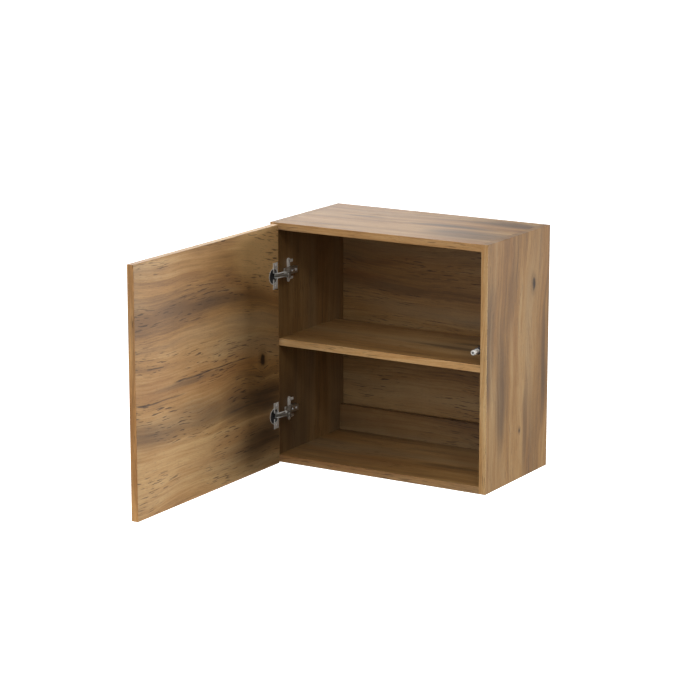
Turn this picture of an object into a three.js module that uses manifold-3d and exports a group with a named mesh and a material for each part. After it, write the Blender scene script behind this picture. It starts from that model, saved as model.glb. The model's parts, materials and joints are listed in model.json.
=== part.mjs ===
// Hanging wall cabinet with one door, one shelf and a push latch.
// Millimetres, +X right, +Y into the cabinet, +Z up.
// The origin is the centre of the rear face, which lies against the wall.
import * as THREE from "three";
import { mergeVertices } from "three/addons/utils/BufferGeometryUtils.js";
import Module from "manifold-3d";

const wasm = await Module();
wasm.setup();

// ---- Driving dimensions ----------------------------------------------------------------------

const WIDTH = 550;
const HEIGHT = 550;
const DEPTH = 290; // carcass only, without the door
const BOARD = 16; // every laminated board
const EDGING = 1; // edging strip glued to a cut edge
const BACK_BOARD = 3;
const REBATE = 8; // how far the back board reaches into the boards around it

const SHELF_HEIGHT = 2; // centre of the shelf above the centre of the cabinet
const SHELF_SETBACK = 7; // from the carcass front
const SHELF_REAR_GAP = 36; // from the rear face
const SHELF_SIDE_GAP = 0.5;
const SHELF_PIN_RADIUS = 2.5;
const SHELF_PIN_LENGTH = 16;
const SHELF_PIN_INSET = 45; // from the shelf's front and rear edges

const LOWER_RAIL_HEIGHT = 60;
const UPPER_RAIL_HEIGHT = 50;
const HANGING_HOLE_RADIUS = 3;
const HANGING_INSET = 60; // wall screws from the cabinet's outer sides
const CUP_WASHER = { radius: 8, thickness: 2 };

const DOWEL_RADIUS = 4;
const DOWEL_LENGTH = 30;
const DOWEL_DEPTH_IN_SIDE = 10;
const DOWEL_INSETS = { front: 50, rear: 60 }; // from the carcass front and the rear face

const DOOR_REVEAL = 1.5; // door edge to carcass outline, all round
const DOOR_GAP = 2; // carcass front to the door's inner face when shut
const DOOR_OPEN_CORNER = { x: 30, y: 13 }; // door's inner hinge corner when open:
// x from the carcass's left face, y in front of the carcass

const HINGE_INSET = 115; // hinge centre from the top and the bottom
const CUP_CENTRE = 21; // from the door's hinge edge
const CUP_RADIUS = 17.4;
const CUP_DEPTH = 11.5;
const CUP_WALL = 0.8;
const FLANGE_THICKNESS = 0.7;
const FLANGE_LENGTH = 60;
const FLANGE_FROM = 4.5; // from the door's hinge edge
const FLANGE_TO = 23;
const CUP_SCREW_INSET = 10.5; // from the door's hinge edge
const CUP_SCREW_SPACING = 46;
const FLANGE_RIM = { width: 2.6, height: 1.9, from: 7 }; // raised edge, from the hinge's centre plane

// Hinge links. The pin places are in the door's own frame: u from its hinge edge, v out of its
// inner face. The turns are what each link makes while the door shuts by 90 degrees.
const OUTER_LINK_CUP_PIN = { u: 8.5, v: -3.5 };
const OUTER_LINK_TURN = 46;
const INNER_LINK_CUP_END = { u: 11.5, v: -3.5 };
const INNER_LINK_TURN = 40;
const PIN_RADIUS = 1.6;
const PIN_CLEARANCE = 0.35; // around a pin in a part that turns on it
const PIN_FIT = 0.15; // around a pin in a part that holds it

const PLATE_THICKNESS = 2;
const PLATE_CENTRE = 48; // behind the carcass front
const PLATE_WING_LENGTH = 55;
const PLATE_WING_WIDTH = 10;
const PLATE_SCREW_SPACING = 39;
const PLATE_STEM = { length: 12, width: 6 }; // runs back from each wing
const PLATE_LIP = { width: 1, height: 5, from: 9 }; // along the wings' front edges
const PLATE_RIB_HEIGHT = 8;
const ARM_REAR = 68; // behind the carcass front
const ARM_TOP = 13.5; // off the side board
const ARM_SCREW_PLACES = [44, 60]; // behind the carcass front

const CUP_SCREW = { head: 3.4, height: 0.8, shank: 1.6, length: 11 };
const PLATE_SCREW = { head: 3.8, height: 1, shank: 2.6, length: 13 };
const LATCH_SCREW = { head: 3.2, height: 0.9, shank: 1.6, length: 12 };
const ARM_SCREW = { head: 3.3, height: 1, shank: 1.7, length: 10 };

const LATCH_HEIGHT = 41; // above the centre of the cabinet
const LATCH_OFFSET = 10; // plunger axis off the right side board
const PLUNGER_RADIUS = 5.5;
const PLUNGER_PROTRUSION = 15; // in front of the carcass, door open
const PLUNGER_LENGTH = 53;
const PLUNGER_SHUT_GAP = 0.5; // plunger tip to the shut door
const LATCH_CLEARANCE = 0.3;
const LATCH_WALL = 1.7;
const LATCH_FROM = 7; // behind the carcass front
const LATCH_FOOT = { thickness: 2, length: 15, screw: 7 }; // its screw is that far from its end

const SEAT = 0.1; // between pieces that touch
const SCREW_FIT = 0.3; // around a screw or a dowel in its hole

// ---- Derived places --------------------------------------------------------------------------

const left = -WIDTH / 2;
const right = WIDTH / 2;
const bottom = -HEIGHT / 2;
const top = HEIGHT / 2;
const front = -DEPTH;
const innerLeft = left + BOARD;
const innerRight = right - BOARD;
const innerBottom = bottom + BOARD;
const innerTop = top - BOARD;
const boardFront = front + EDGING + SEAT; // where a board's core starts behind its edging
const rebateDepth = BACK_BOARD + SEAT;
const railFront = -BACK_BOARD - SEAT - BOARD;
const doorWidth = WIDTH - 2 * DOOR_REVEAL;
const doorHeight = HEIGHT - 2 * DOOR_REVEAL;
const hingeHeights = { upper: top - HINGE_INSET, lower: bottom + HINGE_INSET };
const shelfFront = front + SHELF_SETBACK;
const shelfRear = -SHELF_REAR_GAP;
const shelfUnderside = SHELF_HEIGHT - BOARD / 2;
const shelfPinHeight = shelfUnderside - SHELF_PIN_RADIUS - SEAT;
const shelfPinPlaces = [shelfFront + SHELF_PIN_INSET, shelfRear - SHELF_PIN_INSET];
const dowelPlaces = [front + DOWEL_INSETS.front, -DOWEL_INSETS.rear];
const dowelHeights = { top: top - BOARD / 2, bottom: bottom + BOARD / 2 };
const latchAxisX = innerRight - LATCH_OFFSET;
const hangingHeight = innerTop - UPPER_RAIL_HEIGHT / 2;
const hangingPlaces = { left: left + HANGING_INSET, right: right - HANGING_INSET };

// ---- Materials -------------------------------------------------------------------------------

const finish = (color, roughness, metalness) => () =>
  new THREE.MeshStandardMaterial({ color, roughness, metalness });
const oak = finish(0x9b7444, 0.55, 0);
const oakEdging = finish(0xa8814f, 0.55, 0);
const beech = finish(0xc9a878, 0.7, 0);
const nickel = finish(0xb9b6b0, 0.3, 0.9);
const steel = finish(0xa5a5a2, 0.35, 0.9);
const greyPlastic = finish(0x3b3b3d, 0.5, 0);
const whitePlastic = finish(0xd9d8d4, 0.4, 0);

// ---- Solids ----------------------------------------------------------------------------------

function solidOf(geometry) {
  const bare = geometry.clone();
  bare.deleteAttribute("normal");
  bare.deleteAttribute("uv");
  const merged = mergeVertices(bare, 1e-4);
  return new wasm.Manifold(
    new wasm.Mesh({
      numProp: 3,
      vertProperties: new Float32Array(merged.attributes.position.array),
      triVerts: new Uint32Array(merged.index.array),
    }),
  );
}

function geometryOf(solid) {
  const mesh = solid.getMesh();
  const geometry = new THREE.BufferGeometry();
  geometry.setAttribute("position", new THREE.BufferAttribute(mesh.vertProperties, 3));
  geometry.setIndex(new THREE.BufferAttribute(mesh.triVerts, 1));
  return geometry;
}

const union = (solids) => solids.reduce((sum, solid) => sum.add(solid));
const cut = (solid, cutters) => cutters.reduce((rest, cutter) => rest.subtract(cutter), solid);

// A block between two corners.
function block([x0, x1], [y0, y1], [z0, z1]) {
  const geometry = new THREE.BoxGeometry(x1 - x0, y1 - y0, z1 - z0);
  geometry.translate((x0 + x1) / 2, (y0 + y1) / 2, (z0 + z1) / 2);
  return solidOf(geometry);
}

// A round bar along an axis, from one value of that axis to another.
function rod(axis, radius, [from, to], centre, sides = 16) {
  const geometry = new THREE.CylinderGeometry(radius, radius, to - from, sides);
  geometry.translate(0, (from + to) / 2, 0);
  if (axis === "x") geometry.rotateZ(-Math.PI / 2);
  if (axis === "z") geometry.rotateX(Math.PI / 2);
  geometry.translate(centre.x ?? 0, centre.y ?? 0, centre.z ?? 0);
  return solidOf(geometry);
}

// A profile of [radius, height] points turned about +Y.
function turned(profile, sides = 24) {
  return solidOf(new THREE.LatheGeometry(profile.map(([r, y]) => new THREE.Vector2(r, y)), sides));
}

// An outline of [x, y] points raised from z0 to z1.
function raised(outline, [z0, z1]) {
  const shape = new THREE.Shape(outline.map(([x, y]) => new THREE.Vector2(x, y)));
  const geometry = new THREE.ExtrudeGeometry(shape, { depth: z1 - z0, bevelEnabled: false });
  geometry.translate(0, 0, z0);
  return solidOf(geometry);
}

// A flat bar with round ends between two points of the XY plane.
function bar(p, q, radius, [z0, z1]) {
  const angle = Math.atan2(q.y - p.y, q.x - p.x);
  const shape = new THREE.Shape();
  shape.absarc(q.x, q.y, radius, angle - Math.PI / 2, angle + Math.PI / 2);
  shape.absarc(p.x, p.y, radius, angle + Math.PI / 2, angle + (3 * Math.PI) / 2);
  const geometry = new THREE.ExtrudeGeometry(shape, {
    depth: z1 - z0,
    bevelEnabled: false,
    curveSegments: 5,
  });
  geometry.translate(0, 0, z0);
  return solidOf(geometry);
}

function piece(name, solid, material) {
  const mesh = new THREE.Mesh(geometryOf(solid), material());
  mesh.name = name;
  return mesh;
}

// A screw along +Y with its head's underside at y = 0 and its point at -length.
function screw({ head, height, shank, length }) {
  const recess = 0.4 * head;
  return turned([
    [0, -length],
    [shank * 0.4, -length],
    [shank, -length + shank],
    [shank, 0],
    [head, 0],
    [head * 0.9, height * 0.7],
    [head * 0.6, height],
    [recess, height],
    [recess * 0.7, height * 0.35],
    [0, height * 0.35],
  ], 16);
}

// ---- Carcass boards --------------------------------------------------------------------------

const groove = [-rebateDepth, 1]; // the rebate's span in y, open at the rear
const carcassDepth = [boardFront, 0];

function dowelHole(end, y, z) {
  const inSide = DOWEL_DEPTH_IN_SIDE + SCREW_FIT;
  const inEnd = DOWEL_LENGTH - DOWEL_DEPTH_IN_SIDE + SCREW_FIT;
  const span = end === "left"
    ? [innerLeft - inSide, innerLeft + inEnd]
    : [innerRight - inEnd, innerRight + inSide];
  return rod("x", DOWEL_RADIUS + SCREW_FIT, span, { y, z }, 16);
}

function shelfPinHole(end, y) {
  const depth = SHELF_PIN_LENGTH / 2 + SCREW_FIT;
  const span = end === "left" ? [innerLeft - depth, innerLeft + 1] : [innerRight - 1, innerRight + depth];
  return rod("x", SHELF_PIN_RADIUS + SCREW_FIT, span, { y, z: shelfPinHeight }, 12);
}

function sideBoard(name, end, extraHoles) {
  const [x0, x1] = end === "left" ? [left, innerLeft] : [innerRight, right];
  const rebate = end === "left"
    ? [innerLeft - REBATE, innerLeft + 1]
    : [innerRight - 1, innerRight + REBATE];
  const backSpan = [innerBottom - REBATE, innerTop + REBATE];
  const board = cut(block([x0, x1], carcassDepth, [bottom, top]), [
    block(rebate, groove, backSpan),
    ...dowelPlaces.flatMap((y) => Object.values(dowelHeights).map((z) => dowelHole(end, y, z))),
    ...shelfPinPlaces.map((y) => shelfPinHole(end, y)),
    ...extraHoles,
  ]);
  const strip = block([x0, x1], [front, front + EDGING], [bottom, top]);
  return [piece(name, board, oak), piece(`${name}_edging`, strip, oakEdging)];
}

function endBoard(name, level) {
  const [z0, z1] = level === "top" ? [innerTop, top] : [bottom, innerBottom];
  const rebate = level === "top"
    ? [innerTop - 1, innerTop + REBATE]
    : [innerBottom - REBATE, innerBottom + 1];
  const span = [innerLeft + SEAT, innerRight - SEAT];
  const board = cut(block(span, carcassDepth, [z0, z1]), [
    block([left, right], groove, rebate),
    ...dowelPlaces.flatMap((y) =>
      ["left", "right"].map((end) => dowelHole(end, y, dowelHeights[level]))),
  ]);
  const strip = block(span, [front, front + EDGING], [z0, z1]);
  return [piece(name, board, oak), piece(`${name}_edging`, strip, oakEdging)];
}

function shelf() {
  const span = [innerLeft + SHELF_SIDE_GAP, innerRight - SHELF_SIDE_GAP];
  const thickness = [shelfUnderside, shelfUnderside + BOARD];
  return [
    piece("shelf", block(span, [shelfFront + EDGING + SEAT, shelfRear], thickness), oak),
    piece("shelf_edging", block(span, [shelfFront, shelfFront + EDGING], thickness), oakEdging),
  ];
}

function shelfPins() {
  return ["left", "right"].flatMap((end) =>
    ["front", "rear"].map((depth, i) => {
      const middle = end === "left" ? innerLeft : innerRight;
      const centre = { y: shelfPinPlaces[i], z: shelfPinHeight };
      const span = [middle - SHELF_PIN_LENGTH / 2, middle + SHELF_PIN_LENGTH / 2];
      return piece(`shelf_pin_${end}_${depth}`, rod("x", SHELF_PIN_RADIUS, span, centre, 12), steel);
    }));
}

function dowels() {
  return ["left", "right"].flatMap((end) =>
    ["top", "bottom"].flatMap((level) =>
      ["front", "rear"].map((depth, i) => {
        const start = end === "left"
          ? innerLeft - DOWEL_DEPTH_IN_SIDE
          : innerRight + DOWEL_DEPTH_IN_SIDE - DOWEL_LENGTH;
        const centre = { y: dowelPlaces[i], z: dowelHeights[level] };
        const solid = rod("x", DOWEL_RADIUS, [start, start + DOWEL_LENGTH], centre, 16);
        return piece(`dowel_${level}_${end}_${depth}`, solid, beech);
      })));
}

function backBoard() {
  const reach = REBATE - SEAT;
  const solid = block(
    [innerLeft - reach, innerRight + reach],
    [-BACK_BOARD, 0],
    [innerBottom - reach, innerTop + reach],
  );
  return piece("back_panel", cut(solid, Object.values(hangingPlaces).map(wallScrewHole)), oak);
}

function backRails() {
  const span = [innerLeft + SEAT, innerRight - SEAT];
  const depth = [railFront, railFront + BOARD];
  const lower = block(span, depth, [innerBottom + SEAT, innerBottom + SEAT + LOWER_RAIL_HEIGHT]);
  const upper = block(span, depth, [innerTop - SEAT - UPPER_RAIL_HEIGHT, innerTop - SEAT]);
  const drilled = cut(upper, Object.values(hangingPlaces).map(wallScrewHole));
  return [piece("lower_back_rail", lower, oak), piece("upper_hanging_rail", drilled, oak)];
}

// ---- Door ------------------------------------------------------------------------------------
// Built in the door's own frame: x from the hinge edge, y = 0 on the inner face and -BOARD on the
// outer face, z from the middle. The group that holds it stands it open.

const doorHalf = doorHeight / 2;

function cupBore(z) {
  const bore = turned([[0, -CUP_DEPTH - SEAT * 2], [CUP_RADIUS + SEAT * 2, -CUP_DEPTH - SEAT * 2],
    [CUP_RADIUS + SEAT * 2, 1], [0, 1]], 36);
  return bore.translate([CUP_CENTRE, 0, z]);
}

function door() {
  const inset = EDGING + SEAT;
  const thickness = [-BOARD, 0];
  const holes = Object.values(hingeHeights).flatMap((z) => [
    cupBore(z),
    ...[-1, 1].map((side) =>
      rod("y", CUP_SCREW.shank + SCREW_FIT, [-CUP_SCREW.length - 1, 1],
        { x: CUP_SCREW_INSET, z: z + (side * CUP_SCREW_SPACING) / 2 }, 12)),
  ]);
  const between = [inset, doorWidth - inset];
  const core = cut(block(between, thickness, [inset - doorHalf, doorHalf - inset]), holes);
  const strips = {
    hinge: block([0, EDGING], thickness, [-doorHalf, doorHalf]),
    handle: block([doorWidth - EDGING, doorWidth], thickness, [-doorHalf, doorHalf]),
    top: block(between, thickness, [doorHalf - EDGING, doorHalf]),
    bottom: block(between, thickness, [-doorHalf, EDGING - doorHalf]),
  };
  return [
    piece("door", core, oak),
    ...Object.entries(strips).map(([edge, solid]) => piece(`door_${edge}_edging`, solid, oakEdging)),
  ];
}

// ---- Hinges ----------------------------------------------------------------------------------
// Link and arm shapes are in a frame whose origin is the carcass's front left corner, with z from
// the hinge's centre.

const radians = THREE.MathUtils.degToRad;
const openCorner = new THREE.Vector2(DOOR_OPEN_CORNER.x, -DOOR_OPEN_CORNER.y);
const shutCorner = new THREE.Vector2(DOOR_REVEAL, -DOOR_GAP);
const whenShut = ({ u, v }) => new THREE.Vector2(shutCorner.x + u, shutCorner.y + v);
const whenOpen = ({ u, v }) => new THREE.Vector2(openCorner.x + v, openCorner.y - u);

// The fixed point of the turn by -degrees that takes p to q.
function turningPoint(p, q, degrees) {
  const middle = p.clone().add(q).multiplyScalar(0.5);
  const across = new THREE.Vector2(p.y - q.y, q.x - p.x);
  return middle.addScaledVector(across, -0.5 / Math.tan(radians(degrees) / 2));
}

const outerCupPin = whenOpen(OUTER_LINK_CUP_PIN);
const innerCupEnd = whenOpen(INNER_LINK_CUP_END);
const outerArmPin = turningPoint(outerCupPin, whenShut(OUTER_LINK_CUP_PIN), OUTER_LINK_TURN);
const innerArmPin = turningPoint(innerCupEnd, whenShut(INNER_LINK_CUP_END), INNER_LINK_TURN);
const turningBore = PIN_RADIUS + PIN_CLEARANCE;
const holdingBore = PIN_RADIUS + PIN_FIT;

// Layers of the hinge, as distances from its centre plane.
const innerLinkHalf = 2.8;
const outerCheek = [4.1, 5.7];
const armCheek = [6.3, 7.5];
const cupLug = [6.4, 9.4];

const mirrored = ([from, to]) => [[from, to], [-to, -from]];
const offset = (point, x, y) => new THREE.Vector2(point.x + x, point.y + y);

// The link leaves the cup square to the door and goes round the door's edge to the arm.
function outerLink() {
  const radius = 1.8;
  const route = [outerCupPin, offset(outerCupPin, 5, -1.2), offset(outerCupPin, 7.9, 2), outerArmPin];
  const cheeks = mirrored(outerCheek).flatMap((layer) => [
    ...route.slice(1).map((point, i) => bar(route[i], point, radius, layer)),
    rod("z", 3.1, [-layer[1], -layer[0]], outerArmPin),
    rod("z", 2.7, [-layer[1], -layer[0]], outerCupPin),
  ]);
  const sleeve = rod("z", 2.6, [-outerCheek[1], outerCheek[1]], outerArmPin);
  return cut(union([...cheeks, sleeve]), [
    rod("z", turningBore, [-10, 10], outerArmPin),
    rod("z", turningBore, [-10, 10], outerCupPin),
  ]);
}

// Its cup end stands free beside the cup pin.
function innerLink() {
  const radius = 1.5;
  const layer = [-innerLinkHalf, innerLinkHalf];
  const freeEnd = offset(innerCupEnd, 2, -1.5);
  const bend = offset(innerCupEnd, 6.5, 3);
  const body = union([
    bar(freeEnd, bend, radius, layer),
    bar(bend, innerArmPin, radius, layer),
    rod("z", 3.2, layer, innerArmPin),
  ]);
  return body.subtract(rod("z", turningBore, [-10, 10], innerArmPin));
}

function hingeArm() {
  const web = 1.4;
  const armTop = BOARD + ARM_TOP;
  const underside = BOARD + PLATE_THICKNESS + SEAT + 0.4;
  const outline = [
    [underside, ARM_REAR],
    [underside, PLATE_CENTRE - 14],
    [outerArmPin.x - 5, outerArmPin.y + 3],
    [outerArmPin.x - 3.2, outerArmPin.y - 0.8],
    [outerArmPin.x - 1.4, outerArmPin.y - 3.2],
    [innerArmPin.x - 1, innerArmPin.y - 3.2],
    [innerArmPin.x + 2.3, innerArmPin.y - 2.4],
    [innerArmPin.x + 3.4, innerArmPin.y + 1],
    [innerArmPin.x + 0.4, innerArmPin.y + 10],
    [armTop + 3.5, PLATE_CENTRE - 14],
    [armTop, PLATE_CENTRE - 8],
    [armTop, ARM_REAR],
  ];
  const inside = outline.map(([x, y]) => [x - web, y - web * 0.7]);
  const gap = [-armCheek[0], armCheek[0]];
  const shell = cut(raised(outline, [-armCheek[1], armCheek[1]]), [
    raised(inside, gap),
    block([armTop - BOARD, innerArmPin.x + 9], [-5, innerArmPin.y + 4.3], gap),
    ...ARM_SCREW_PLACES.map((y) =>
      rod("x", ARM_SCREW.shank + SCREW_FIT, [armTop - 3, armTop + 1], { y, z: 0 }, 12)),
  ]);
  const pins = [outerArmPin, innerArmPin].map((pin) =>
    rod("z", PIN_RADIUS, [-armCheek[1], armCheek[1]], pin));
  return union([shell, ...pins]);
}

function mountingPlate() {
  const base = BOARD + SEAT;
  const plateTop = base + PLATE_THICKNESS;
  const halfWing = PLATE_WING_LENGTH / 2;
  const halfWidth = PLATE_WING_WIDTH / 2;
  const rib = block([base, base + PLATE_RIB_HEIGHT], [PLATE_CENTRE - 18, PLATE_CENTRE + 18],
    [-armCheek[0] + 0.4, armCheek[0] - 0.4]);
  const wing = block([base, plateTop], [PLATE_CENTRE - halfWidth, PLATE_CENTRE + halfWidth],
    [halfWidth - halfWing, halfWing - halfWidth]);
  const screwOffset = PLATE_SCREW_SPACING / 2;
  const wingFront = PLATE_CENTRE - halfWidth;
  const lipSpan = [PLATE_LIP.from, halfWing - halfWidth];
  const ends = [-1, 1].flatMap((side) => [
    rod("x", halfWidth, [base, plateTop], { y: PLATE_CENTRE, z: side * (halfWing - halfWidth) }),
    block([base, plateTop], [PLATE_CENTRE, PLATE_CENTRE + halfWidth + PLATE_STEM.length],
      [side * screwOffset - PLATE_STEM.width / 2, side * screwOffset + PLATE_STEM.width / 2]),
  ]);
  const lips = mirrored(lipSpan).map((span) =>
    block([base, base + PLATE_LIP.height], [wingFront, wingFront + PLATE_LIP.width], span));
  return cut(union([rib, wing, ...ends, ...lips]), [
    ...[-1, 1].map((side) =>
      rod("x", PLATE_SCREW.shank + SCREW_FIT, [base - 1, plateTop + 1],
        { y: PLATE_CENTRE, z: side * screwOffset }, 16)),
    ...ARM_SCREW_PLACES.map((y) =>
      rod("x", ARM_SCREW.shank + SCREW_FIT, [base - 1, base + PLATE_RIB_HEIGHT + 1], { y, z: 0 }, 12)),
  ]);
}

// Cup, flange with its raised rim, and the two lugs that hold the link's pin, in the door's frame.
function hingeCup() {
  const inner = CUP_RADIUS - CUP_WALL;
  const rim = CUP_RADIUS + 1;
  const flangeTop = SEAT + FLANGE_THICKNESS;
  const shell = turned([[0, -CUP_DEPTH], [CUP_RADIUS, -CUP_DEPTH], [CUP_RADIUS, SEAT], [rim, SEAT],
    [rim, flangeTop], [inner, flangeTop], [inner, CUP_WALL - CUP_DEPTH], [0, CUP_WALL - CUP_DEPTH]], 36)
    .translate([CUP_CENTRE, 0, 0]);
  const mouth = rod("y", inner, [-CUP_DEPTH / 2, flangeTop + 1], { x: CUP_CENTRE }, 36);
  const halfLength = FLANGE_LENGTH / 2;
  const flange = block([FLANGE_FROM, FLANGE_TO], [SEAT, flangeTop], [-halfLength, halfLength])
    .subtract(mouth);
  const rims = mirrored([FLANGE_RIM.from, halfLength]).map((span) =>
    block([FLANGE_TO - FLANGE_RIM.width, FLANGE_TO], [SEAT, SEAT + FLANGE_RIM.height], span));
  const core = rod("y", CUP_RADIUS - CUP_WALL / 2, [CUP_WALL / 2 - CUP_DEPTH, 0], { x: CUP_CENTRE }, 36);
  const { u, v } = OUTER_LINK_CUP_PIN;
  const lugs = mirrored(cupLug).map((layer) =>
    block([u - 6, u + 4], [-CUP_DEPTH, v + 3], layer).intersect(core));
  return cut(union([shell, flange, ...rims, ...lugs]), [
    rod("z", holdingBore, [-cupLug[1] - 2, cupLug[1] + 2], { x: u, y: v }),
    ...[-1, 1].map((side) =>
      rod("y", CUP_SCREW.shank + SCREW_FIT, [-1, 2],
        { x: CUP_SCREW_INSET, z: (side * CUP_SCREW_SPACING) / 2 }, 12)),
  ]);
}

function cupPin() {
  const { u, v } = OUTER_LINK_CUP_PIN;
  return rod("z", PIN_RADIUS, [-cupLug[1], cupLug[1]], { x: u, y: v });
}

function at(mesh, x, y, z) {
  mesh.position.set(x, y, z);
  return mesh;
}

function hingeOnCarcass(name, height) {
  const armTop = BOARD + ARM_TOP;
  const screwSeat = BOARD + SEAT + PLATE_THICKNESS + SEAT;
  const hinge = new THREE.Group();
  hinge.position.set(left, front, height);
  hinge.add(
    piece(`${name}_mounting_plate`, mountingPlate(), nickel),
    piece(`${name}_hinge_arm`, hingeArm(), nickel),
    piece(`${name}_outer_link`, outerLink(), nickel),
    piece(`${name}_inner_link`, innerLink(), nickel),
    ...["bottom", "top"].map((end, i) => {
      const mesh = piece(`${name}_plate_screw_${end}`, screw(PLATE_SCREW), steel);
      mesh.rotation.z = -Math.PI / 2;
      return at(mesh, screwSeat, PLATE_CENTRE, ((2 * i - 1) * PLATE_SCREW_SPACING) / 2);
    }),
    ...["front", "rear"].map((end, i) => {
      const mesh = piece(`${name}_arm_screw_${end}`, screw(ARM_SCREW), steel);
      mesh.rotation.z = -Math.PI / 2;
      return at(mesh, armTop + SEAT, ARM_SCREW_PLACES[i], 0);
    }),
  );
  return hinge;
}

function hingeOnDoor(name, height) {
  const hinge = new THREE.Group();
  hinge.position.set(0, 0, height);
  hinge.add(
    piece(`${name}_hinge_cup`, hingeCup(), nickel),
    piece(`${name}_cup_pin`, cupPin(), steel),
    ...["bottom", "top"].map((end, i) => {
      const mesh = piece(`${name}_cup_screw_${end}`, screw(CUP_SCREW), steel);
      const z = ((2 * i - 1) * CUP_SCREW_SPACING) / 2;
      return at(mesh, CUP_SCREW_INSET, SEAT + FLANGE_THICKNESS + SEAT, z);
    }),
  );
  return hinge;
}

const plateScrewHoles = Object.values(hingeHeights).flatMap((z) =>
  [-1, 1].map((side) =>
    rod("x", PLATE_SCREW.shank + SCREW_FIT, [innerLeft - PLATE_SCREW.length, innerLeft + 1],
      { y: front + PLATE_CENTRE, z: z + (side * PLATE_SCREW_SPACING) / 2 }, 12)));

// ---- Push latch ------------------------------------------------------------------------------
// In a frame whose origin is on the plunger's axis at the carcass front.

const plungerTravel = PLUNGER_PROTRUSION - DOOR_GAP + PLUNGER_SHUT_GAP;
const plungerRear = PLUNGER_LENGTH - PLUNGER_PROTRUSION;
const springFrom = plungerRear + plungerTravel + 1;
const springTo = springFrom + 6;
const latchRear = springTo + 0.6 + LATCH_WALL;
const latchRadius = PLUNGER_RADIUS + LATCH_CLEARANCE + LATCH_WALL;
const latchFootEnd = latchRear + LATCH_FOOT.length;
const latchFootTop = LATCH_OFFSET - SEAT - LATCH_FOOT.thickness;
const latchScrewPlace = latchFootEnd - LATCH_FOOT.screw;

function latchHousing() {
  const bore = PLUNGER_RADIUS + LATCH_CLEARANCE;
  const foot = [latchFootTop, LATCH_OFFSET - SEAT];
  const body = union([
    rod("y", latchRadius, [LATCH_FROM, latchRear], {}, 28),
    block([0, LATCH_OFFSET - SEAT], [LATCH_FROM + 1, latchRear], [-4.5, 4.5]),
    block(foot, [LATCH_FROM + 1, latchFootEnd], [-latchRadius, latchRadius]),
  ]);
  return cut(body, [
    rod("y", bore, [LATCH_FROM - 1, latchRear - LATCH_WALL], {}, 28),
    rod("x", LATCH_SCREW.shank + SCREW_FIT, [foot[0] - 1, foot[1] + 1],
      { y: latchScrewPlace, z: 0 }, 12),
  ]);
}

function plunger() {
  const chamfer = 0.8;
  return turned([
    [0, -PLUNGER_PROTRUSION + 1.6],
    [2, -PLUNGER_PROTRUSION + 1.6],
    [2.2, -PLUNGER_PROTRUSION],
    [PLUNGER_RADIUS - chamfer, -PLUNGER_PROTRUSION],
    [PLUNGER_RADIUS, -PLUNGER_PROTRUSION + chamfer],
    [PLUNGER_RADIUS, plungerRear],
    [0, plungerRear],
  ], 28);
}

// The spring as the shut door leaves it: close coils at the bottom of the housing.
class Coils extends THREE.Curve {
  getPoint(t, target = new THREE.Vector3()) {
    const radius = 3.9;
    const turns = 3.5;
    const angle = 2 * Math.PI * turns * t;
    const y = springFrom + 0.7 + (springTo - springFrom - 0.7) * t;
    return target.set(radius * Math.cos(angle), y, radius * Math.sin(angle));
  }
}

function latchSpring() {
  const section = new THREE.Shape();
  section.absarc(0, 0, 0.5, 0, 2 * Math.PI);
  const sweep = { steps: 36, extrudePath: new Coils(), curveSegments: 4 };
  return solidOf(new THREE.ExtrudeGeometry(section, sweep));
}

function pushLatch() {
  const latch = new THREE.Group();
  latch.position.set(latchAxisX, front, LATCH_HEIGHT);
  const fixing = piece("latch_screw", screw(LATCH_SCREW), steel);
  fixing.rotation.z = Math.PI / 2;
  latch.add(
    piece("latch_housing", latchHousing(), greyPlastic),
    piece("latch_plunger", plunger(), whitePlastic),
    piece("latch_spring", latchSpring(), steel),
    at(fixing, latchFootTop - SEAT, latchScrewPlace, 0),
  );
  return latch;
}

const latchScrewHole = rod("x", LATCH_SCREW.shank + SCREW_FIT,
  [innerRight - 1, innerRight + LATCH_SCREW.length],
  { y: front + latchScrewPlace, z: LATCH_HEIGHT }, 12);

// ---- Hanging -----------------------------------------------------------------------------------
// A wall screw goes through a cup washer, the hanging rail and the back board at each end.

function wallScrewHole(x) {
  return rod("y", HANGING_HOLE_RADIUS, [railFront - 1, 1], { x, z: hangingHeight }, 16);
}

function cupWashers() {
  const { radius, thickness } = CUP_WASHER;
  const ring = turned([[HANGING_HOLE_RADIUS, -thickness], [radius * 0.7, -thickness], [radius, -SEAT],
    [HANGING_HOLE_RADIUS, -SEAT], [HANGING_HOLE_RADIUS, -thickness]], 20);
  return Object.entries(hangingPlaces).map(([end, x]) =>
    at(piece(`hanging_washer_${end}`, ring, steel), x, railFront, hangingHeight));
}

// ---- Assembly --------------------------------------------------------------------------------

const doorGroup = new THREE.Group();
doorGroup.position.set(left + openCorner.x, front + openCorner.y, 0);
doorGroup.rotation.z = -Math.PI / 2;
doorGroup.add(
  ...door(),
  hingeOnDoor("upper", hingeHeights.upper),
  hingeOnDoor("lower", hingeHeights.lower),
);

const cabinet = new THREE.Group();
cabinet.add(
  ...sideBoard("left_side", "left", plateScrewHoles),
  ...sideBoard("right_side", "right", [latchScrewHole]),
  ...endBoard("top_panel", "top"),
  ...endBoard("bottom_panel", "bottom"),
  ...shelf(),
  ...shelfPins(),
  ...dowels(),
  backBoard(),
  ...backRails(),
  ...cupWashers(),
  hingeOnCarcass("upper", hingeHeights.upper),
  hingeOnCarcass("lower", hingeHeights.lower),
  pushLatch(),
  doorGroup,
);

export default cabinet;
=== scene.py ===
"""Hanging wall cabinet: laminated oak boards, edging strips, cup hinges and a push latch.

Metres, in the cabinet's own frame: +X right, +Y towards the wall, +Z up, with the origin at the
centre of the rear face. The door stands open at rest.
"""

import json
import math

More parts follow.
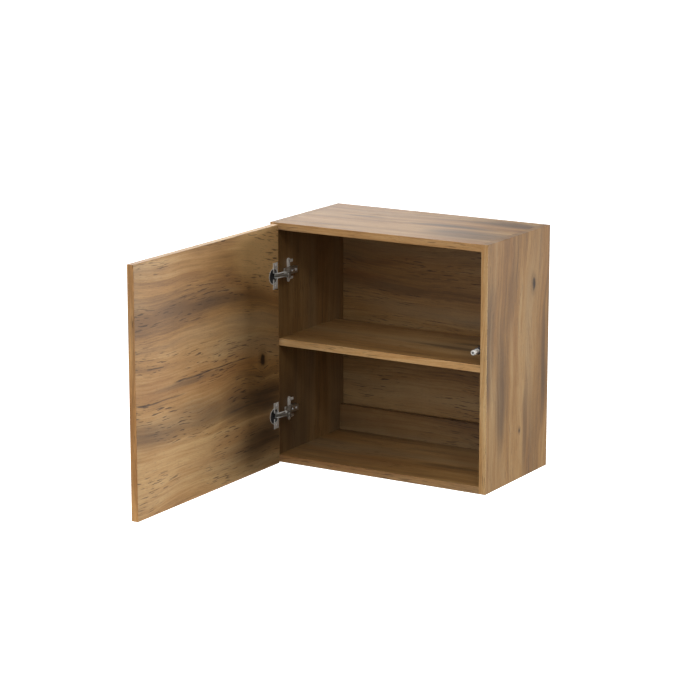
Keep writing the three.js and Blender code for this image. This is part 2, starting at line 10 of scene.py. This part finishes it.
import bmesh
import bpy
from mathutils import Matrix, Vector


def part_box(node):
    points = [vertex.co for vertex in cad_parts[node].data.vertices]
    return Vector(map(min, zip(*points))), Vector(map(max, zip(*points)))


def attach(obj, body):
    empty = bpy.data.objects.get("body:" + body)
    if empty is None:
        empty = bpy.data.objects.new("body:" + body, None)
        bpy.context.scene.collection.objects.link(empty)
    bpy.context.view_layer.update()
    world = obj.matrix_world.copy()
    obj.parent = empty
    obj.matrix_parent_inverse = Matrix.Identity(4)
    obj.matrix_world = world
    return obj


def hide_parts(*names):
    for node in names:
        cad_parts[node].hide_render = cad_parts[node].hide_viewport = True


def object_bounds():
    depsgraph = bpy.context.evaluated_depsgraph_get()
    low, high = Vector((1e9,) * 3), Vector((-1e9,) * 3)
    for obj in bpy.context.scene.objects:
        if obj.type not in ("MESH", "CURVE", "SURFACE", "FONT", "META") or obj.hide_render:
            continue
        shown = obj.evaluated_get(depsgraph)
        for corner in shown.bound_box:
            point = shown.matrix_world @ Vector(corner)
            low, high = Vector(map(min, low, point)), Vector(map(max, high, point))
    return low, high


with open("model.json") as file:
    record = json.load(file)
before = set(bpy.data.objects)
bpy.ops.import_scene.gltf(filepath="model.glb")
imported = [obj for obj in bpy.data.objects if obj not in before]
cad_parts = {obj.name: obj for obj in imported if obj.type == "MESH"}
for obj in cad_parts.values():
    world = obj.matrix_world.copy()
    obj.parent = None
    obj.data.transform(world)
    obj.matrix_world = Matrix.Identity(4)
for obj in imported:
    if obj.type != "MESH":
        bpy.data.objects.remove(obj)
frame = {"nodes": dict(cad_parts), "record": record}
cad_low, cad_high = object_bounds()

MM = 0.001

# ---- Shader writing ---------------------------------------------------------------------------


class Field:
    """A number that varies over a surface: arithmetic on it adds Math nodes."""

    def __init__(self, nodes, socket):
        self.nodes = nodes
        self.socket = socket

    def __add__(self, other):
        return self.nodes.math("ADD", self, other)

    def __radd__(self, other):
        return self.nodes.math("ADD", other, self)

    def __sub__(self, other):
        return self.nodes.math("SUBTRACT", self, other)

    def __rsub__(self, other):
        return self.nodes.math("SUBTRACT", other, self)

    def __mul__(self, other):
        return self.nodes.math("MULTIPLY", self, other)

    def __rmul__(self, other):
        return self.nodes.math("MULTIPLY", other, self)

    def __truediv__(self, other):
        return self.nodes.math("DIVIDE", self, other)

    def __rtruediv__(self, other):
        return self.nodes.math("DIVIDE", other, self)

    def __pow__(self, other):
        return self.nodes.math("POWER", self, other)

    def __rpow__(self, other):
        return self.nodes.math("POWER", other, self)

    def __abs__(self):
        return self.nodes.math("ABSOLUTE", self)

    def at_least(self, other):
        return self.nodes.math("MAXIMUM", self, other)

    def clamped(self):
        return self.nodes.math("MINIMUM", self.at_least(0.0), 1.0)

    def ramp(self, low, high):
        """0 at low, 1 at high, with soft ends."""
        settings = {"interpolation_type": "SMOOTHSTEP"}
        inputs = {"Value": self, "From Min": low, "From Max": high}
        return self.nodes.field("ShaderNodeMapRange", settings, inputs, "Result")


class Nodes:
    """Writes the nodes of one owner: a material, or the world."""

    def __init__(self, owner):
        owner.use_nodes = True
        self.owner = owner
        self.tree = owner.node_tree

    def add(self, kind, settings, inputs):
        """A node of a kind: its settings first, then the values or links of its sockets."""
        node = self.tree.nodes.new(kind)
        for name, value in settings.items():
            setattr(node, name, value)
        for name, value in inputs.items():
            self.feed(node.inputs[name], value)
        return node

    def feed(self, socket, value):
        if isinstance(value, Field):
            value = value.socket
        if isinstance(value, bpy.types.NodeSocket):
            self.tree.links.new(value, socket)
        else:
            socket.default_value = value

    def field(self, kind, settings, inputs, output):
        return Field(self, self.add(kind, settings, inputs).outputs[output])

    def math(self, operation, *values):
        return self.field("ShaderNodeMath", {"operation": operation}, dict(enumerate(values)), 0)

    def place(self, coordinates="Object"):
        """The surface point in the cabinet's frame, or the sky's direction, as three fields."""
        point = self.add("ShaderNodeTexCoord", {}, {}).outputs[coordinates]
        axes = self.add("ShaderNodeSeparateXYZ", {}, {"Vector": point}).outputs
        return [Field(self, axes[i]) for i in range(3)]

    def vector(self, x, y, z):
        return self.add("ShaderNodeCombineXYZ", {}, {"X": x, "Y": y, "Z": z}).outputs[0]

    def noise(self, vector, scale=1.0, detail=2.0, roughness=0.5):
        inputs = {"Vector": vector, "Scale": scale, "Detail": detail, "Roughness": roughness}
        return self.field("ShaderNodeTexNoise", {}, inputs, "Fac")

    def mix(self, share, first, second):
        """Colour first at share 0 and second at share 1."""
        # The node has sockets of one name for each data type: these are the colour ones.
        inputs = {0: share, 6: first, 7: second}
        return self.add("ShaderNodeMix", {"data_type": "RGBA"}, inputs).outputs[2]

    def bump(self, height, distance, strength):
        inputs = {"Height": height, "Distance": distance, "Strength": strength}
        return self.add("ShaderNodeBump", {}, inputs).outputs[0]

    def finish(self, varying, uniform):
        """The material, with these links and values on its shader."""
        shader = self.tree.nodes["Principled BSDF"]
        for name, value in {**varying, **uniform}.items():
            self.feed(shader.inputs[name], value)
        return self.owner


def tone(hexadecimal):
    """A linear colour from a six-digit sRGB one."""
    channels = [int(hexadecimal[i : i + 2], 16) / 255 for i in (0, 2, 4)]
    linear = [c / 12.92 if c <= 0.04045 else ((c + 0.055) / 1.055) ** 2.4 for c in channels]
    return (*linear, 1.0)


def shaded(colour, share):
    return (*[channel * share for channel in colour[:3]], 1.0)


# ---- Oak decor --------------------------------------------------------------------------------

BOARD_TONES = (tone("7d5a34"), tone("a87d48"), tone("bf9a67"))  # dark, golden, light
# lighter than the boards' tones: painted light on the front-facing edges
EDGING_TONES = (tone("93683a"), tone("c3935a"), tone("dcb680"))
# smoky oak, also the colour of the painted shade in some smoky patches
OAK_SMOKE_AND_SHADE = tone("4f3a27")
OAK_RUST = tone("8f5c2c")
OAK_ASH = tone("a8916f")
OAK_FLECK = tone("3a2615")
OAK_KNOT = tone("33200f")
PAINTED_LIGHT_LIFT = 1.45  # painted light: a pale patch is this much lighter than the light tone

AXES = {"x": 0, "y": 1, "z": 2}

# The noise that the grain is made of. Rates are cells to a metre.
GRAIN = {
    # layer: (rate along, rate across, seed shift, detail, roughness)
    "drift": (1.6, 2.2, 0.0, 1.0, 0.5),
    "ripple": (7.0, 9.0, 3.1, 1.0, 0.5),
    "knot_edge": (55.0, 90.0, 9.0, 2.0, 0.5),
    "broad": (1.0, 7.0, 1.3, 2.0, 0.5),
    "bands": (1.7, 52.0, 2.7, 4.0, 0.62),
    "lines": (5.0, 250.0, 4.9, 2.0, 0.5),
    "fibres": (36.0, 1400.0, 6.3, 2.0, 0.7),
    "mottle": (16.0, 70.0, 5.5, 2.0, 0.5),
    "dashes": (30.0, 400.0, 7.7, 1.0, 0.5),
    "crowd": (5.0, 16.0, 8.1, 1.0, 0.5),
    "pores": (95.0, 1100.0, 10.0, 0.0, 0.5),
    "haze": (2.4, 11.0, 11.0, 3.0, 0.5),
    "rust": (1.5, 10.0, 15.0, 3.0, 0.5),
    "ash": (1.3, 9.0, 16.0, 3.0, 0.5),
}
FLOW_LAYERS = ("drift", "ripple", "knot_edge")  # these bend the grain, the others follow it

# The noise at which a mark starts to show, and at which it shows in full.
SHOWS = {
    "dashes": (0.60, 0.68),
    "crowd": (0.40, 0.60),
    "pores": (0.62, 0.75),
    "haze": (0.54, 0.76),
    "rust": (0.48, 0.70),
    "ash": (0.48, 0.72),
}

# How far each layer carries the tone from dark to light, or makes an outline ragged.
WARMTH = {"bands": 1.5, "broad": 2.0, "lines": 0.8, "mottle": 0.5, "fibres": 0.7}
SMOKE_AND_SHADE_RAGGED = {"crowd": 2.0, "bands": 1.6}
PAINTED_LIGHT_RAGGED = {"broad": 2.0}
KNOT_RAGGED = 1.8

# How a mark dies away from its middle: full inside the first distance, none past the second.
SMOKE_AND_SHADE_EDGE = (-0.3, 1.7)
PAINTED_LIGHT_EDGE = (-0.2, 1.8)
KNOT_CORE_EDGE = (0.0, 1.1)
KNOT_HALO_EDGE = (0.5, 5.0)
CRACK_EDGE = (0.4 * MM, 2.2 * MM)

DRIFT = 110 * MM  # how far the grain wanders across the board
RIPPLE = 14 * MM
KNOT_CORE = 0.9
KNOT_HALO = 0.35
KNOT_PUSH = 0.85  # how far the grain parts round a knot
KNOT_REACH = 0.4  # how soon that dies away
CRACK_WAVER = 6 * MM
CRACK_ENDS = (30 * MM, 50 * MM)  # how long it takes to open and to close
CRACK_FILL = 1.6  # how much of its length is open

# The share of its own colour in each mark.
RUST_SHARE = 0.5
ASH_SHARE = 0.5
PORE_SHARE = 0.22
CRACK_SHARE = 0.9
KNOT_SHARE = 0.85

# Height and roughness of the surface.
FIBRE_HEIGHT = 0.5
LINE_HEIGHT = 0.3
PORE_DEPTH = 0.3
KNOT_DEPTH = 0.5
OAK_RELIEF = 0.2 * MM
OAK_BUMP = 0.35
OAK_ROUGHNESS = 0.43
FIBRE_ROUGHNESS = 0.14
MARK_ROUGHNESS = 0.12


def grain(m, layer, along, across, seed):
    """One layer of the grain's noise, drawn out along the board."""
    rate_along, rate_across, shift, detail, roughness = GRAIN[layer]
    point = m.vector(along * rate_along, across * rate_across, seed + shift)
    return m.noise(point, detail=detail, roughness=roughness)


def from_middle(u, v, place_u, place_v, length, width):
    """0 at a patch's middle and 1 on its outline, growing as the square of the distance."""
    du = (u - place_u) / length
    dv = (v - place_v) / width
    return du * du + dv * dv


def faded(distance, edge, strength):
    """A mark that dies away over its edge."""
    return (1.0 - distance.ramp(*edge)) * strength


def swing(layers, weights):
    """The layers' swings about their middle values, weighed and added up."""
    return sum((layers[layer] - 0.5) * weight for layer, weight in weights.items())


def part_round_knots(m, u, v, flow, knots, seed):
    """The grain's flow parted round the knots, and how dark the knots make each point."""
    ragged = (grain(m, "knot_edge", u, v, seed) - 0.5) * KNOT_RAGGED
    darkness = None
    for knot in knots:
        distance = from_middle(u, v, *knot)
        flow = flow - (v - knot[1]) * (KNOT_PUSH / (distance * KNOT_REACH + 1.0))
        radius = distance + ragged
        core = faded(radius, KNOT_CORE_EDGE, KNOT_CORE)
        mark = core + faded(radius, KNOT_HALO_EDGE, KNOT_HALO)
        darkness = mark if darkness is None else darkness.at_least(mark)
    return flow, darkness


def smoke_and_shade_over(u, flow, layers, patches, haze):
    """How smoky each point is: a haze everywhere and the patches, both streaked by the grain. The
    haze is the oak's own smoke; some patches are painted shade where the cabinet gets less light.
    """
    smoke_and_shade = layers["haze"].ramp(*SHOWS["haze"]) * haze
    ragged = swing(layers, SMOKE_AND_SHADE_RAGGED)
    for *patch, strength in patches:
        distance = from_middle(u, flow, *patch) + ragged
        smoke_and_shade = smoke_and_shade.at_least(faded(distance, SMOKE_AND_SHADE_EDGE, strength))
    return smoke_and_shade * (layers["lines"] * 0.5 + layers["mottle"] * 0.5 + 0.45)


def crack_depth(u, flow, layers, cracks):
    """1 in the middle of a crack, broken up along it, or None on a board without cracks."""
    depth = None
    opening, closing = CRACK_ENDS
    for start, end, place_v in cracks:
        waver = (layers["mottle"] - 0.5) * CRACK_WAVER
        line = faded(abs(flow - place_v + waver), CRACK_EDGE, 1.0)
        reach = u.ramp(start, start + opening) * (1.0 - u.ramp(end - closing, end))
        crack = line * reach * (layers["dashes"] * CRACK_FILL).clamped()
        depth = crack if depth is None else depth.at_least(crack)
    return depth


def oak(
    name,
    along,
    across,
    seed,
    smoke_and_shade=(),
    pale=(),
    knots=(),
    cracks=(),
    rise=0.0,
    flecks=0.5,
    haze=0.45,
    sway=1.0,
    tones=BOARD_TONES,
    painted_brightness=1.0,
):
    """Oak decor paper: growth bands that flow round the knots, smoky patches, flecks and cracks,
    with painted light and shade.

    along and across are the axes of the board's grain and width. A smoky patch, partly painted
    shade, or a pale patch, which is painted light, is (place along, place across, half length,
    half width, strength), a knot is (place along, place across, half length, half width) and a
    crack is (from, to, place across), all in metres. rise is how far the grain climbs across the
    board over its length. The brightness share scales all the tones as painted light and shade.
    """
    m = Nodes(bpy.data.materials.new(name))
    axes = m.place()
    u = axes[AXES[along]]
    v = axes[AXES[across]]

    drift = grain(m, "drift", u, v, seed) - 0.5
    ripple = grain(m, "ripple", u, v, seed) - 0.5
    flow = v + drift * (DRIFT * sway) + ripple * (RIPPLE * sway)
    if rise:
        # More of the climb comes in the upper half of the board.
        flow = flow - (u * rise) * (v * 1.8 + 0.55).clamped()
    knot = None
    if knots:
        flow, knot = part_round_knots(m, u, v, flow, knots, seed)

    names = [layer for layer in GRAIN if layer not in FLOW_LAYERS]
    layers = {layer: grain(m, layer, u, flow, seed) for layer in names}
    fibres = layers["fibres"]
    marks = layers["dashes"].ramp(*SHOWS["dashes"]) * layers["crowd"].ramp(*SHOWS["crowd"])
    fleck = marks * flecks
    pores = layers["pores"].ramp(*SHOWS["pores"])
    crack = crack_depth(u, flow, layers, cracks)

    warm = (swing(layers, WARMTH) + 0.5).clamped()
    # Painted light and shade: every tone is scaled by the board's brightness share.
    dark, golden, light = [shaded(colour, painted_brightness) for colour in tones]
    colour = m.mix(warm * 2.0, dark, golden)
    colour = m.mix(warm * 2.0 - 1.0, colour, light)
    rust = layers["rust"].ramp(*SHOWS["rust"]) * RUST_SHARE
    ash = layers["ash"].ramp(*SHOWS["ash"]) * ASH_SHARE
    colour = m.mix(rust, colour, shaded(OAK_RUST, painted_brightness))
    colour = m.mix(ash, colour, shaded(OAK_ASH, painted_brightness))
    # Pale patches are painted light: the tones lifted towards a lighter copy of the light tone.
    for *patch, strength in pale:
        distance = from_middle(u, flow, *patch) + swing(layers, PAINTED_LIGHT_RAGGED)
        share = faded(distance, PAINTED_LIGHT_EDGE, strength)
        colour = m.mix(share, colour, shaded(light, PAINTED_LIGHT_LIFT))
    # smoke, and painted shade from some of the patches
    colour = m.mix(smoke_and_shade_over(u, flow, layers, smoke_and_shade, haze), colour, OAK_SMOKE_AND_SHADE)
    colour = m.mix(pores * PORE_SHARE, colour, OAK_FLECK)
    colour = m.mix(fleck, colour, OAK_FLECK)
    relief = fibres * FIBRE_HEIGHT + layers["lines"] * LINE_HEIGHT - fleck - pores * PORE_DEPTH
    if crack is not None:
        colour = m.mix(crack * CRACK_SHARE, colour, OAK_KNOT)
        relief = relief - crack
    if knot is not None:
        colour = m.mix(knot * KNOT_SHARE, colour, OAK_KNOT)
        relief = relief - knot * KNOT_DEPTH
    rough = (fibres - 0.5) * FIBRE_ROUGHNESS + marks * MARK_ROUGHNESS + OAK_ROUGHNESS
    bump = m.bump(relief, OAK_RELIEF, OAK_BUMP)
    return m.finish(
        {"Base Color": colour, "Roughness": rough, "Normal": bump},
        {"Specular IOR Level": 0.5},
    )


# ---- Metal and plastic ------------------------------------------------------------------------

# Noise rates are cells to a metre. A shade is a share of the finish's own brightness.
DULL_RATE = 180.0
DULL_SHOWS = (0.45, 0.8)
DULL_SHARE = 0.35
DULL_SHADE = 0.72
DRAW_MARK_RATES = (400.0, 400.0, 2600.0)  # along x, y and z
DRAW_MARK_DEPTH = 0.05 * MM
SUNK_PAINTED_SHADE = 0.12
SUNK_SHADE_EDGE = 0.6 * MM
MOULD_RATE = 2600.0
MOULD_DEPTH = 0.03 * MM
CLOUD_RATE = 90.0
CLOUD_SHOWS = (0.35, 0.75)
CLOUD_SHARE = 0.25
CLOUD_SHADE = 0.86
SOCKET_PAINTED_SHADE = 0.10


def metal(name, colour, roughness, metallic, shade_below=None):
    """Plated steel with faint draw marks and dull patches, painted shade where sunk in the door.
    """
    m = Nodes(bpy.data.materials.new(name))
    place = m.place()
    dull = m.noise(m.vector(*place), scale=DULL_RATE, detail=3.0)
    drawn = [axis * rate for axis, rate in zip(place, DRAW_MARK_RATES)]
    marks = m.noise(m.vector(*drawn), detail=2.0)
    tint = m.mix(dull.ramp(*DULL_SHOWS) * DULL_SHARE, colour, shaded(colour, DULL_SHADE))
    # Painted shade: the cup goes dark below the door's face, inside its hollow.
    if shade_below is not None:
        sunk = place[0].ramp(shade_below, shade_below - SUNK_SHADE_EDGE)
        tint = m.mix(sunk, tint, shaded(colour, SUNK_PAINTED_SHADE))
    rough = (dull - 0.5) * 0.12 + (marks - 0.5) * 0.05 + roughness
    bump = m.bump(marks, DRAW_MARK_DEPTH, 0.15)
    return m.finish(
        {"Base Color": tint, "Roughness": rough, "Normal": bump},
        {"Metallic": metallic, "Specular IOR Level": 0.9},
    )


def moulded(name, colour, roughness, socket=None):
    """Moulded plastic with a fine texture and painted shade in the round socket of a part's tip.
    """
    m = Nodes(bpy.data.materials.new(name))
    x, y, z = m.place()
    speck = m.noise(m.vector(x, y, z), scale=MOULD_RATE, detail=2.0)
    cloud = m.noise(m.vector(x, y, z), scale=CLOUD_RATE, detail=2.0)
    tint = m.mix(cloud.ramp(*CLOUD_SHOWS) * CLOUD_SHARE, colour, shaded(colour, CLOUD_SHADE))
    # Painted shade: the socket's inner faces go dark, as a hole in shade.
    if socket is not None:
        axis_x, axis_z, radius = socket
        reach = ((x - axis_x) ** 2.0 + (z - axis_z) ** 2.0) ** 0.5
        sunk = reach.ramp(radius * 1.08, radius * 0.98)
        tint = m.mix(sunk, tint, shaded(colour, SOCKET_PAINTED_SHADE))
    rough = (cloud - 0.5) * 0.1 + roughness
    bump = m.bump(speck, MOULD_DEPTH, 0.25)
    return m.finish(
        {"Base Color": tint, "Roughness": rough, "Normal": bump},
        {"Specular IOR Level": 0.5},
    )


PLATED = tone("f2efe8")
door_low, door_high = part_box("door")
plunger_low, plunger_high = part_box("latch_plunger")
plunger_middle = (plunger_low + plunger_high) / 2
PLUNGER_SOCKET_SHADE = (plunger_middle.x, plunger_middle.z, 2.2 * MM)

FINISHES = {
    # material slot: its finish
    "nickel": metal("nickel_plate", PLATED, 0.30, 0.12),
    "steel": metal("zinc_steel", tone("ffffff"), 0.24, 0.45),
    "grey_plastic": moulded("dark_grey_plastic", tone("3a3a3d"), 0.45),
    "white_plastic": moulded("pale_plastic", tone("e4e3df"), 0.35, socket=PLUNGER_SOCKET_SHADE),
    "beech": oak("beech_dowel", "x", "y", 91.0, haze=0.0, flecks=0.0),
}
ARM_NICKEL = metal("arm_nickel_plate", tone("b5afa4"), 0.32, 0.85)
SPECIAL_FINISHES = {
    # the end of a piece's name: its finish
    "hinge_cup": metal("cup_nickel_plate", PLATED, 0.30, 0.30, shade_below=door_high.x),
    "hinge_arm": ARM_NICKEL,
    "inner_link": ARM_NICKEL,
}

# ---- Pieces -----------------------------------------------------------------------------------

BOARDS = {
    # A figure's brightness share scales the tones: painted shade below 1, painted light above 1.
    # node: (grain along, width across, seed, the figure of its grain)
    "left_side": (
        "z",
        "y",
        2.0,
        # painted shade: the patch on the lower front of the inner face, and the darker tones
        # inside
        {"smoke_and_shade": ((-0.20, -0.23, 0.13, 0.08, 0.7),), "flecks": 0.4, "painted_brightness": 0.64},
    ),
    "right_side": (
        "z",
        "y",
        5.0,
        {
            "smoke_and_shade": (
                (0.06, -0.245, 0.13, 0.026, 0.8),
                # a smoky streak, deepened with painted shade on the side's lower middle
                (-0.06, -0.205, 0.16, 0.024, 0.75),
                (-0.16, -0.100, 0.12, 0.012, 0.6),
                (0.17, -0.160, 0.12, 0.014, 0.5),
                (-0.05, -0.022, 0.14, 0.008, 0.8),
            ),
            "knots": ((0.155, -0.075, 0.016, 0.008), (-0.165, -0.135, 0.006, 0.004)),
            "flecks": 0.3,
            "sway": 1.5,
            "painted_brightness": 0.71,
        },
    ),
    "top_panel": (
        "x",
        "y",
        8.0,
        {
            "smoke_and_shade": (
                (0.10, -0.135, 0.13, 0.014, 0.9),
                (-0.13, -0.100, 0.05, 0.010, 0.7),
                # painted shade: these two darken the right end of the top
                (0.20, -0.210, 0.12, 0.050, 0.8),
                (0.21, -0.060, 0.10, 0.030, 0.8),
            ),
            "flecks": 0.2,
            "haze": 0.3,
            "painted_brightness": 0.85,
        },
    ),
    "bottom_panel": (
        "x",
        "y",
        11.0,
        {
            "smoke_and_shade": ((0.14, -0.20, 0.09, 0.012, 0.9), (0.02, -0.09, 0.08, 0.010, 0.6)),
            "flecks": 0.5,
            "painted_brightness": 0.85,
        },
    ),
    "shelf": (
        "x",
        "y",
        14.0,
        {
            "smoke_and_shade": ((0.12, -0.17, 0.12, 0.012, 1.0), (0.16, -0.13, 0.06, 0.010, 0.9)),
            "flecks": 0.4,
            "painted_brightness": 0.85,
        },
    ),
    "back_panel": ("x", "z", 17.0, {"flecks": 0.75, "haze": 0.3, "painted_brightness": 0.8}),
    "lower_back_rail": ("x", "z", 20.0, {"flecks": 0.8, "haze": 0.3, "painted_brightness": 0.6}),
    "upper_hanging_rail": ("x", "z", 23.0, {"flecks": 0.6, "painted_brightness": 0.8}),
    "door": (
        "y",
        "z",
        26.0,
        {
            "smoke_and_shade": (
                (-0.55, 0.085, 0.19, 0.022, 0.75),
                # painted shade: the lower middle of the door near the hinge edge
                (-0.40, -0.120, 0.15, 0.042, 1.0),
                (-0.70, -0.120, 0.22, 0.032, 0.75),
                (-0.62, -0.050, 0.16, 0.006, 0.6),
                # painted shade: the lowest part of the door near the hinge edge
                (-0.360, -0.215, 0.14, 0.040, 1.0),
            ),
            # painted light on the door's upper hinge end
            "pale": ((-0.335, 0.170, 0.13, 0.075, 0.75),),
            "knots": ((-0.370, -0.021, 0.011, 0.018),),
            "cracks": ((-0.86, -0.66, -0.068), (-0.72, -0.40, -0.044)),
            "rise": -0.12,
            "flecks": 0.8,
            "haze": 0.25,
            # painted light: the door's tones lifted
            "painted_brightness": 1.07,
        },
    ),
}

EDGINGS = {
    # node: (grain along, width across, seed, brightness share: painted light above 1, shade below)
    "left_side_edging": ("z", "x", 31.0, 1.0),
    "right_side_edging": ("z", "x", 32.0, 1.0),
    "top_panel_edging": ("x", "z", 33.0, 0.9),
    "bottom_panel_edging": ("x", "z", 34.0, 0.9),
    "shelf_edging": ("x", "z", 35.0, 1.1),
    "door_top_edging": ("y", "x", 36.0, 0.9),
    "door_bottom_edging": ("y", "x", 37.0, 1.0),
    "door_hinge_edging": ("z", "x", 38.0, 1.0),
    "door_handle_edging": ("z", "x", 39.0, 1.45),
}

# How far the edges are rounded off, in millimetres.
BOARD_ROUNDING = 0.3
EDGING_ROUNDING = 0.4
SMALL_ROUNDING = 0.15
ROUNDINGS = {
    # the end of a piece's name: its rounding
    "mounting_plate": 0.7,
    "hinge_arm": 0.45,
    "outer_link": 0.3,
    "inner_link": 0.3,
    "hinge_cup": 0.22,
    "plate_screw_bottom": 0.3,
    "plate_screw_top": 0.3,
    "arm_screw_front": 0.3,
    "arm_screw_rear": 0.3,
    "cup_screw_bottom": 0.25,
    "cup_screw_top": 0.25,
    "latch_housing": 0.4,
    "latch_plunger": 0.7,
}

SAME_POINT = 0.001 * MM
FLAT_ANGLE = math.radians(0.6)  # faces that meet flatter than this are one face
CREASE_ANGLE = math.radians(30.0)  # edges sharper than this are rounded off


def body_of(node):
    bodies = frame["record"]["behaviour"]["bodies"]
    return next(body for body, members in bodies.items() if node in members)


def slot_of(node):
    return next(s["material_slot"] for s in frame["record"]["subparts"] if s["node"] == node)


def by_ending(table, node, otherwise):
    """The table's entry for the end of a node's name."""
    return next((entry for ending, entry in table.items() if node.endswith(ending)), otherwise)


def placed(name, data):
    obj = bpy.data.objects.new(name, data)
    bpy.context.scene.collection.objects.link(obj)
    return obj


def eased(node, material, rounding, segments, smooth):
    """The node's shape with its sharp edges rounded off, in place of the node."""
    mesh = frame["nodes"][node].data.copy()
    mesh.name = node + "_eased"
    mesh.materials.clear()
    mesh.materials.append(material)
    shape = bmesh.new()
    shape.from_mesh(mesh)
    bmesh.ops.remove_doubles(shape, verts=shape.verts, dist=SAME_POINT)
    bmesh.ops.dissolve_limit(
        shape,
        angle_limit=FLAT_ANGLE,
        verts=shape.verts,
        edges=shape.edges,
        use_dissolve_boundaries=False,
    )
    for face in shape.faces:
        face.smooth = smooth
    shape.to_mesh(mesh)
    shape.free()
    piece = placed(node + "_eased", mesh)
    bevel = piece.modifiers.new("rounding", "BEVEL")
    bevel.width = rounding * MM
    bevel.segments = segments
    bevel.limit_method = "ANGLE"
    bevel.angle_limit = CREASE_ANGLE
    bevel.harden_normals = smooth
    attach(piece, body_of(node))
    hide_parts(node)
    slot_of(node)


for node, (along, across, seed, figure) in BOARDS.items():
    decor = oak(node + "_decor", along, across, seed, **figure)
    eased(node, decor, BOARD_ROUNDING, segments=2, smooth=False)

for node, (along, across, seed, painted_brightness) in EDGINGS.items():
    figure = {"haze": 0.1, "flecks": 0.5, "tones": EDGING_TONES, "painted_brightness": painted_brightness}
    decor = oak(node + "_decor", along, across, seed, **figure)
    eased(node, decor, EDGING_ROUNDING, segments=2, smooth=False)

for node in frame["nodes"]:
    if node not in BOARDS and node not in EDGINGS:
        finish = by_ending(SPECIAL_FINISHES, node, None) or FINISHES[slot_of(node)]
        rounding = by_ending(ROUNDINGS, node, SMALL_ROUNDING)
        eased(node, finish, rounding, segments=3, smooth=True)

# ---- Floor, light and camera ------------------------------------------------------------------

FLOOR_HALF_SIZE = 60.0
FLOOR_DROP = 0.9  # below the cabinet
FLOOR_GLOW = 0.9

LAMPS = {
    # name: (place, aim, size, watts)
    "overhead": ((-1.5, 0.3, 1.9), (-0.1, -0.2, 0.2), (1.6, 1.6), 24.0),
    "right_side": ((5.3, 2.4, 0.1), (0.0, -0.3, 0.0), (2.8, 1.5), 330.0),
    "sparkle": ((2.3, -2.4, 2.3), (-0.25, -0.3, 0.0), (0.5, 0.5), 14.0),
    "backdrop_left": ((-2.8, 3.4, 1.3), (-0.2, -0.2, 0.2), (1.9, 1.4), 18.0),
}

CEILING_GLOW = 0.34
REAR_WALL_GLOW = 0.16
RIGHT_WALL_GLOW = 0.12
FRONT_LEFT_GLOW = 1.35
ROOM_GLOW = 0.05
BELOW_SHARE = 0.1  # how much of the glow is left below the cabinet

VIEW_AZIMUTH = math.radians(31.23)
VIEW_ELEVATION = math.radians(12.92)
VIEW_DISTANCE = 5.546
VIEW_AIM = Vector((0.030, -0.450, 0.050))
VIEW_END = 100.0
LENS = 133.7
SENSOR = 36.0


def floor():
    """A pale floor that neither lights the cabinet's underside nor shows in its gloss."""
    size = FLOOR_HALF_SIZE
    mesh = bpy.data.meshes.new("floor")
    corners = [(-size, -size, 0), (size, -size, 0), (size, size, 0), (-size, size, 0)]
    mesh.from_pydata(corners, [], [(0, 1, 2, 3)])
    paint = {
        "Base Color": tone("f6f6f4"),
        "Roughness": 1.0,
        "Emission Color": tone("ffffff"),
        "Emission Strength": FLOOR_GLOW,
    }
    mesh.materials.append(Nodes(bpy.data.materials.new("pale_floor")).finish({}, paint))
    obj = placed("floor", mesh)
    obj.location.z = cad_low.z - FLOOR_DROP
    obj.visible_diffuse = False
    obj.visible_glossy = False
    obj.visible_shadow = False


def lamp(name, place, aim, size, watts):
    light = bpy.data.lights.new(name, "AREA")
    light.shape = "RECTANGLE"
    light.size, light.size_y = size
    light.energy = watts
    obj = placed(name, light)
    obj.location = place
    obj.rotation_euler = (Vector(aim) - Vector(place)).to_track_quat("-Z", "Y").to_euler()


def room():
    """The room's glow by direction: pale walls and ceiling, brightest at the front left."""
    world = bpy.data.worlds.new("studio")
    sky = Nodes(world)
    x, y, z = sky.place("Generated")
    ceiling = z.ramp(-0.1, 0.9) * CEILING_GLOW
    rear_wall = y.ramp(-0.1, 0.8) * REAR_WALL_GLOW
    right_wall = (x * 0.85 + y * 0.5).ramp(0.3, 1.0) * RIGHT_WALL_GLOW
    front_left = (x * -0.5 - y * 0.85).ramp(0.0, 0.8) * FRONT_LEFT_GLOW
    above = z.ramp(-0.4, 0.35) * (1.0 - BELOW_SHARE) + BELOW_SHARE
    glow = (ceiling + rear_wall + right_wall + front_left + ROOM_GLOW) * above
    background = sky.tree.nodes["Background"]
    sky.feed(background.inputs["Strength"], glow)
    sky.feed(background.inputs["Color"], (1.0, 1.0, 1.0, 1.0))
    bpy.context.scene.world = world
    bpy.context.scene.view_settings.view_transform = "Standard"


def camera():
    level = math.cos(VIEW_ELEVATION)
    back = Vector(
        (
            math.sin(VIEW_AZIMUTH) * level,
            -math.cos(VIEW_AZIMUTH) * level,
            math.sin(VIEW_ELEVATION),
        )
    )
    data = bpy.data.cameras.new("view")
    data.lens = LENS
    data.sensor_width = SENSOR
    data.clip_end = VIEW_END
    obj = placed("view", data)
    obj.location = VIEW_AIM + back * VIEW_DISTANCE
    obj.rotation_euler = (-back).to_track_quat("-Z", "Y").to_euler()
    bpy.context.scene.camera = obj


floor()
for name, settings in LAMPS.items():
    lamp(name, *settings)
room()
camera()
